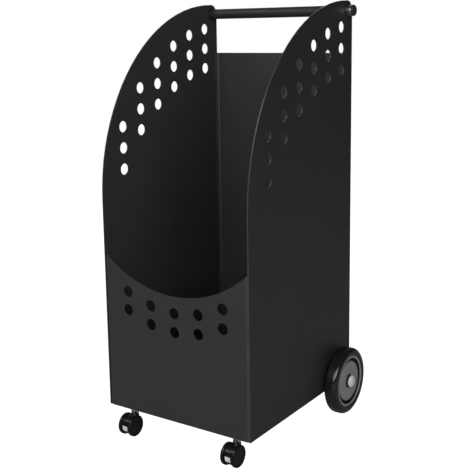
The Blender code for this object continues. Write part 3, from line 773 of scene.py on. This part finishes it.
def make_handle():
    half, bore = TUBE_HI.x, TUBE - TUBE_WALL
    tube = turn("handle_bar", *ring_strokes(TUBE, bore, -half, half), CUT_EDGE, TUBE_STEPS)
    fit(tube, axle_place(1, 0, TUBE_Y, TUBE_Z), TUBE_COAT, "rack_body", "handle_coat", "handle_tube")
    head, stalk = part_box("right_handle_plug")[1].x - half - SEAM, bore - SEAM
    for side, way in SIDES:
        plug = turn(
            f"{side}_bar_plug",
            (0, head),
            (
                (PLUG_CROWN, head - PLUG_CROWN_DROP), (PLUG - PLUG_SHOULDER_IN, head - PLUG_SHOULDER_DROP),
                (PLUG, PLUG_RIM_HEIGHT), (PLUG - PLUG_UNDERCUT, 0), (stalk, 0), (stalk, -PLUG_STALK),
                (0, -PLUG_STALK),
            ),
            PLUG_SOFT,
            TUBE_STEPS,
        )
        place = axle_place(way, half + SEAM, TUBE_Y, TUBE_Z)
        fit(plug, place, PLUG_PLASTIC, "rack_body", "plug_plastic", f"{side}_handle_plug")
        sleeve = turn(
            f"{side}_bar_end_sleeve",
            *ring_strokes(TUBE + SLEEVE_WALL, TUBE + SEAM / 2, HALF_WIDTH + WELD_REACH - half, -SEAM),
            CUT_EDGE,
            TUBE_STEPS,
        )
        fit(sleeve, axle_place(way, half, TUBE_Y, TUBE_Z), BRIGHT_PLATE, "rack_body", "zinc")
        for number, x in enumerate((HALF_WIDTH, HALF_WIDTH - SHEET)):
            drop_selection()
            bpy.ops.mesh.primitive_torus_add(
                major_radius=TUBE + WELD_RING,
                minor_radius=WELD_BEAD,
                major_segments=TUBE_STEPS,
                minor_segments=WELD_STEPS,
                rotation=ALONG_X,
            )
            bead = bpy.context.object
            bead.name = bead.data.name = f"{side}_bar_weld_{number + 1}"
            bpy.ops.object.mode_set(mode="EDIT")
            bpy.ops.transform.vertex_random(
                offset=WELD_RIPPLE, uniform=0.0, normal=1.0, seed=number + WELD_SEED
            )
            bpy.ops.object.mode_set(mode="OBJECT")
            smooth(bead, WELD_SMOOTH)
            fit(bead, Matrix.Translation((way * x, TUBE_Y, TUBE_Z)), WELD_COAT, "rack_body", "powder_coat")


# Rear wheels


def make_rear_axle():
    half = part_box("rear_axle")[1].x
    rod = turn("axle_rod", (0, half), ((AXLE, half), (AXLE, -half), (0, -half)), AXLE_SOFT, ROD_STEPS)
    fit(rod, axle_place(1, 0, WHEEL_CENTRE.y, WHEEL_CENTRE.z), DULL_PLATE, "rack_body", "zinc", "rear_axle")


def make_wheel_fittings(side, way):
    """Washers and the domed cap, which stay on the axle."""
    bore = AXLE + SEAM
    for name in ("inner_washer", "outer_washer"):
        lo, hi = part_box(f"{side}_{name}")
        strokes = ring_strokes(WASHER, bore, 0, hi.x - lo.x)
        washer = turn(f"{side}_{name}_ring", *strokes, SMALL_SOFT, ROD_STEPS)
        inner_face = min(abs(lo.x), abs(hi.x))
        place = axle_place(way, inner_face, WHEEL_CENTRE.y, WHEEL_CENTRE.z)
        fit(washer, place, DULL_PLATE, "rack_body", "zinc", f"{side}_{name}")
    pocket = ((bore, 0), (bore, CAP_POCKET), (0, CAP_POCKET))
    cap = turn(f"{side}_domed_cap", CAP[0], CAP[1:] + pocket, CUT_EDGE, CAP_STEPS)
    place = axle_place(way, CAP_FOOT, WHEEL_CENTRE.y, WHEEL_CENTRE.z)
    # near-white cap: a bright plated cap, its reflection painted into its colour
    fit(cap, place, PAINTED_REFLECTION_PLATE, "rack_body", "zinc", f"{side}_axle_cap")


def make_rear_wheel(side, way):
    body = f"{side}_rear_wheel"
    place = axle_place(way, WHEEL_CENTRE.x, WHEEL_CENTRE.y, WHEEL_CENTRE.z)
    radius, half = TYRE_HI.z - WHEEL_CENTRE.z, (TYRE_HI.x - TYRE_LO.x) / 2
    crown, flat = radius - SHOULDER, half - SHOULDER
    tyre = turn(
        f"{side}_solid_tyre",
        (BEAD, half - BEAD_CHAMFER),
        (
            (BEAD + BEAD_CHAMFER, half), (crown, half), (crown, flat, -90), (radius, -flat),
            (crown, -flat, -90), (BEAD + BEAD_CHAMFER, -half), (BEAD, -half + BEAD_CHAMFER),
            (BEAD, half - BEAD_CHAMFER),
        ),
        0,
        WHEEL_STEPS,
    )
    fit(tyre, place, TYRE_RUBBER, body, "tyre_rubber", f"{side}_tyre")
    bore = BUSH + SEAM
    hub = turn(
        f"{side}_hub_moulding",
        (RIM, HUB_HALF),
        (
            (RIM, -HUB_HALF), (HUB_BARREL, -HUB_HALF), (HUB_BARREL, HUB_WEB_BACK), (HUB_BOSS, HUB_WEB_BACK),
            (HUB_BOSS, HUB_BOSS_BACK), (bore, HUB_BOSS_BACK), (bore, HUB_SEAT), *HUB_FACE,
            (RIM, HUB_HALF),
        ),
        CUT_EDGE,
        WHEEL_STEPS,
    )
    ribs = []
    for number in range(HUB_RIBS):
        drop_selection()
        bpy.ops.mesh.primitive_cube_add(size=1, location=RIB_MIDDLE, scale=RIB_SIZE)
        rib = bpy.context.object
        bpy.ops.object.transform_apply(location=True, rotation=True, scale=True)
        rib.data.transform(Matrix.Rotation(math.tau * number / HUB_RIBS, 4, "Y"))
        ribs.append(rib)
    combine(hub, join(ribs), "UNION")
    smooth(hub)
    fit(hub, place, HUB_PLASTIC, body, "hub_plastic", f"{side}_hub")
    # Black rubber liners in the groove and round the cap's neck, as painted shade
    for name, outline, soft, steps in (
        ("hub_groove_shade_liner", GROOVE_SHADE_LINER, GROOVE_SHADE_LINER_SOFT, WHEEL_STEPS),
        ("hub_cap_shade_liner", NECK_SHADE_LINER, NECK_SHADE_LINER_SOFT, CAP_STEPS),
    ):
        shade_liner = turn(f"{side}_{name}", outline[0], outline[1:], soft, steps)
        fit(shade_liner, place, SHADE_RUBBER, body, "tyre_rubber")
    strokes = ring_strokes(BUSH, AXLE + SEAM, HUB_BOSS_BACK, HUB_SEAT)
    sleeve = turn(f"{side}_hub_sleeve", *strokes, CUT_EDGE, ROD_STEPS)
    fit(sleeve, place, BUSH_NYLON, body, "bush_nylon", f"{side}_hub_bush")


# Casters


def thread_strokes(low, high):
    """A zigzag from the top of a thread to its foot."""
    strokes = []
    count = int((high - low) / THREAD_PITCH)
    pitch = (high - low) / count
    for number in range(count):
        top = high - number * pitch
        strokes += [(THREAD, top - pitch * share) for share in THREAD_CREST]
        strokes.append((THREAD - THREAD_DEPTH, top - pitch))
    return strokes


def make_caster_mount(side, way):
    collar_low = HOOD_HI.z + SEAM
    collar_high = CHANNEL_LO.z - SEAM
    tip = STEM_HI.z
    strokes = [(THREAD - TIP_CHAMFER, tip), (THREAD - THREAD_DEPTH, tip - TIP_CHAMFER)]
    strokes += thread_strokes(collar_high + THREAD_RUNOUT, tip - TIP_CHAMFER)
    strokes += [(THREAD - THREAD_DEPTH, collar_high), (COLLAR, collar_high), (COLLAR, collar_low)]
    strokes += [(NECK, collar_low), (NECK, STEM_LO.z), (0, STEM_LO.z)]
    stem = turn(f"{side}_bright_stem", (0, tip), strokes, THREAD_SOFT, CAP_STEPS)
    place = Matrix.Translation((way * STEM_X, STEM_Y, 0))
    fit(stem, place @ UPRIGHT, BRIGHT_PLATE, "rack_body", "zinc", f"{side}_caster_stem")
    lo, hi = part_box(f"{side}_caster_nut")
    middle = (0, 0, (lo.z + hi.z) / 2)
    drop_selection()
    bpy.ops.mesh.primitive_cylinder_add(
        vertices=6, radius=NUT_ACROSS / math.sqrt(3), depth=hi.z - lo.z, location=middle
    )
    nut = bpy.context.object
    nut.name = nut.data.name = f"{side}_hexagon_nut"
    bpy.ops.object.transform_apply(location=True, rotation=True, scale=True)
    drill(nut, [middle], THREAD + SEAM, NUT_DRILL, ALONG_Z)
    ease(nut, NUT_SOFT)
    fit(nut, place, DULL_PLATE, "rack_body", "zinc", f"{side}_caster_nut")


def band_strokes(centre, inner, outer, first, last):
    """A strip bent round a centre, from one angle to another, as a start and strokes."""

    def at(radius, degrees):
        angle = math.radians(degrees)
        return centre[0] + radius * math.cos(angle), centre[1] + radius * math.sin(angle)

    strokes = ((*centre, last - first), at(inner, last), (*centre, first - last), at(outer, first))
    return at(outer, first), strokes


def make_caster_hood(side, place, trail):
    """The hood, with a pale plate let into its front, whose near-white colour paints the white floor's
    reflection in the hood's gloss.
    """
    swivel = f"{side}_caster_swivel"
    width = HOOD_HI.x - HOOD_LO.x
    reach = HOOD_HI.z - CASTER_RADIUS
    foot = HOOD_LO.z
    drop = math.degrees(math.asin((CASTER_RADIUS - foot) / reach))
    back = HOOD_HI.y - STEM_Y
    hood = draw_solid(
        f"{side}_caster_fork",
        (back, HOOD_HI.z),
        (
            (-trail, HOOD_HI.z), (-trail, CASTER_RADIUS, 90 + drop),
            (-trail + reach * math.cos(math.radians(drop)), foot), (back, HOOD_HEEL), (back, HOOD_HI.z),
        ),
        width,
    )
    hood.data.transform(Matrix.Translation((-width / 2, 0, 0)) @ EDGEWISE)
    corner, front = width / 2 - NECK_ROUND, -2 * CASTER_RADIUS
    plan = draw_solid(
        "hood plan",
        (-width / 2, front),
        (
            (width / 2, front), (width / 2, back - NECK_ROUND), (corner, back - NECK_ROUND, 90),
            (-corner, back), (-corner, back - NECK_ROUND, 90), (-width / 2, front),
        ),
        2 * CASTER_RADIUS,
    )
    combine(hood, plan, "INTERSECT")
    axle, wide = (-trail, CASTER_RADIUS), width - 2 * PLATE_MARGIN
    band = band_strokes(axle, reach - PLATE_POCKET, reach + PLATE_POCKET_OUT, PLATE_TOP, PLATE_FOOT)
    pocket = draw_solid("plate pocket", *band, wide)
    pocket.data.transform(Matrix.Translation((-wide / 2, 0, 0)) @ EDGEWISE)
    combine(hood, pocket, "DIFFERENCE")
    drill(hood, [(0, 0, HOOD_HI.z)], NECK + SEAM, HOOD_NECK_DRILL, ALONG_Z)
    drill(hood, [(0, -trail, CASTER_RADIUS)], CASTER_PIN + SEAM, CASTER_PIN_DRILL, ALONG_X)
    ease(hood, HOOD_SOFT, HOOD_SOFT_STEPS)
    fit(hood, place, CASTER_PLASTIC, swivel, "caster_plastic", f"{side}_caster_hood")
    wide -= 2 * SEAM
    band = band_strokes(
        axle, reach - PLATE_BACK, reach - PLATE_FRONT, PLATE_TOP + PLATE_END_GAP, PLATE_FOOT - PLATE_END_GAP
    )
    plate = draw_solid(f"{side}_caster_front_reflection_plate", *band, wide)
    plate.data.transform(Matrix.Translation((-wide / 2, 0, 0)) @ EDGEWISE)
    ease(plate, SMALL_SOFT)
    # near-white plate: painted reflection of the white floor in the hood's gloss
    fit(plate, place, PAINTED_REFLECTION_PLATE, swivel, "zinc")


def make_roller(side, name, out):
    """One of a caster's two wheels: a tread and a dished disc in it."""
    lo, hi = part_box(f"{side}_caster_{name}_wheel")
    wide, bore = hi.x - lo.x, CASTER_PIN + SEAM
    lip = wide - ROLLER_LIP_DROP
    tread = turn(
        f"{side}_{name}_roller",
        (ROLLER_DISC, lip),
        (
            (ROLLER_DISC + ROLLER_LIP_WIDTH, wide), (CASTER_RADIUS - ROLLER_EDGE, wide),
            (CASTER_RADIUS - ROLLER_EDGE, wide - ROLLER_EDGE, -90), (CASTER_RADIUS, ROLLER_BACK_EDGE),
            (CASTER_RADIUS - ROLLER_BACK_EDGE, ROLLER_BACK_EDGE, -90), (ROLLER_DISC, 0), (ROLLER_DISC, lip),
        ),
        0,
        ROLLER_STEPS,
    )
    rim = ROLLER_DISC - SEAM / 2
    disc = turn(
        f"{side}_{name}_roller_disc",
        (0, wide - DISC_BOSS_DROP),
        (
            (DISC_BOSS, wide - DISC_BOSS_DROP), (DISC_BOSS_FOOT, wide - DISC_DROP),
            (ROLLER_DISC - DISC_RIM, wide - DISC_DROP), (rim, wide - DISC_RIM_DROP), (rim, DISC_BACK),
            (bore, DISC_BACK), (bore, DISC_POCKET), (0, DISC_POCKET),
        ),
        SMALL_SOFT,
        ROLLER_STEPS,
    )
    face = lo.x if out > 0 else hi.x
    turned = axle_place(out, out * face, CASTER_AXLE_Y, CASTER_RADIUS)
    body = f"{side}_caster_{name}"
    fit(tread, turned, CASTER_PLASTIC, body, "caster_plastic", f"{body}_wheel")
    fit(disc, turned, ROLLER_PLASTIC, body, "caster_plastic")


def make_caster(side, way):
    make_caster_hood(side, Matrix.Translation((way * STEM_X, STEM_Y, 0)), STEM_Y - CASTER_AXLE_Y)
    lo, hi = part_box(f"{side}_caster_pin")
    half = (hi.x - lo.x) / 2
    strokes = ((CASTER_PIN, half), (CASTER_PIN, -half), (0, -half))
    pin = turn(f"{side}_caster_rod", (0, half), strokes, CUT_EDGE, PIN_STEPS)
    place = axle_place(way, STEM_X, CASTER_AXLE_Y, CASTER_RADIUS)
    fit(pin, place, DULL_PLATE, f"{side}_caster_swivel", "zinc", f"{side}_caster_pin")
    make_roller(side, "outer", way)
    make_roller(side, "inner", -way)


make_side_panels()
make_front_panel()
make_back_panel()
make_base_tray()
make_crossmember()
make_axle_plates()
make_handle()
make_rear_axle()
for hand, outward in SIDES:
    make_wheel_fittings(hand, outward)
    make_rear_wheel(hand, outward)
    make_caster_mount(hand, outward)
    make_caster(hand, outward)


# Studio

FLOOR_SIZE = 30.0
FLOOR_COLOUR = (0.5, 0.5, 0.5)
FLOOR_ROUGHNESS = 0.8
ROOM_LIGHT = 0.02
ROOM_SIDE = (-0.27, 0.09, 0.0)  # brighter walls to the left and behind
SOFTBOX_AIM = (0, 0, 0.4)
SOFTBOXES = (  # name, place, watts and size
    ("front softbox", (0, -2.82, 1.43), 16, 1.5),
    ("corner softbox", (1.4, -2.43, 1.48), 20, 1.5),
    ("right softbox", (2.37, -1.37, 1.62), 22, 1.5),
    ("left highlight", (-1.61, -1.73, 2.25), 16, 0.9),
    ("rear softbox", (-1.7, 2.3, 1.4), 16, 1.5),
)


def make_floor():
    """White to the eye, as in the photograph, but dimmer in what it throws back on the rack."""
    drop_selection()
    bpy.ops.mesh.primitive_plane_add(size=FLOOR_SIZE)
    floor = bpy.context.object
    floor.name = "studio_floor"
    material = bpy.data.materials.new("pale floor")
    material.use_nodes = True
    tree = material.node_tree
    shader = tree.nodes["Principled BSDF"]
    shader.inputs["Base Color"].default_value = (*FLOOR_COLOUR, 1)
    shader.inputs["Roughness"].default_value = FLOOR_ROUGHNESS
    shader.inputs["Emission Color"].default_value = (1, 1, 1, 1)
    path = tree.nodes.new("ShaderNodeLightPath")
    tree.links.new(path.outputs["Is Camera Ray"], shader.inputs["Emission Strength"])
    floor.data.materials.append(material)


def make_world():
    """White to the eye, and a dim room for every other ray."""
    world = bpy.data.worlds.new("studio")
    bpy.context.scene.world = world
    world.use_nodes = True
    tree = world.node_tree
    light = tree.nodes["Background"]
    light.inputs["Color"].default_value = (1, 1, 1, 1)
    toward = tree.nodes.new("ShaderNodeVectorMath")
    toward.operation = "DOT_PRODUCT"
    toward.inputs[1].default_value = ROOM_SIDE
    tree.links.new(tree.nodes.new("ShaderNodeTexCoord").outputs["Generated"], toward.inputs[0])
    least = tree.nodes.new("ShaderNodeMath")
    least.operation = "MAXIMUM"
    least.inputs[1].default_value = ROOM_LIGHT
    tree.links.new(toward.outputs["Value"], least.inputs[0])
    tree.links.new(least.outputs[0], light.inputs["Strength"])
    seen = tree.nodes.new("ShaderNodeBackground")
    seen.inputs["Color"].default_value = (1, 1, 1, 1)
    path = tree.nodes.new("ShaderNodeLightPath")
    mix = tree.nodes.new("ShaderNodeMixShader")
    tree.links.new(path.outputs["Is Camera Ray"], mix.inputs["Fac"])
    tree.links.new(light.outputs[0], mix.inputs[1])
    tree.links.new(seen.outputs[0], mix.inputs[2])
    tree.links.new(mix.outputs[0], tree.nodes["World Output"].inputs["Surface"])


def add_softbox(name, at, power, size):
    lamp = bpy.data.lights.new(name, "AREA")
    lamp.shape = "SQUARE"
    lamp.size = size
    lamp.energy = power
    box = bpy.data.objects.new(name, lamp)
    box.location = at
    box.rotation_euler = (Vector(SOFTBOX_AIM) - Vector(at)).to_track_quat("-Z", "Y").to_euler()
    bpy.context.scene.collection.objects.link(box)


# Camera, fitted to the photograph
CAMERA_AT = (0.893172, -1.308605, 0.706585)
CAMERA_YAW, CAMERA_PITCH, CAMERA_ROLL = 34.0616, 10.1167, -0.825  # degrees
FOCAL_PIXELS = 897.951
IMAGE_PIXELS = 470
CENTRE_ROW = 192.0  # image row that the lens's axis meets
SENSOR = 36.0


def make_camera():
    yaw, pitch, roll = (math.radians(a) for a in (CAMERA_YAW, CAMERA_PITCH, CAMERA_ROLL))
    ahead = Vector((-math.sin(yaw) * math.cos(pitch), math.cos(yaw) * math.cos(pitch), -math.sin(pitch)))
    right = Vector((math.cos(yaw), math.sin(yaw), 0))
    up = right.cross(ahead)
    level_right = right * math.cos(roll) + up * math.sin(roll)
    level_up = up * math.cos(roll) - right * math.sin(roll)
    camera = bpy.data.cameras.new("camera")
    camera.sensor_width = SENSOR
    camera.lens = FOCAL_PIXELS / IMAGE_PIXELS * SENSOR
    camera.shift_y = (CENTRE_ROW - IMAGE_PIXELS / 2) / IMAGE_PIXELS
    viewer = bpy.data.objects.new("camera", camera)
    turned = Matrix((level_right, level_up, -ahead)).transposed()
    viewer.matrix_world = Matrix.Translation(CAMERA_AT) @ turned.to_4x4()
    bpy.context.scene.collection.objects.link(viewer)
    bpy.context.scene.camera = viewer


make_floor()
make_world()
for softbox in SOFTBOXES:
    add_softbox(*softbox)
make_camera()
bpy.context.scene.view_settings.view_transform = "Standard"
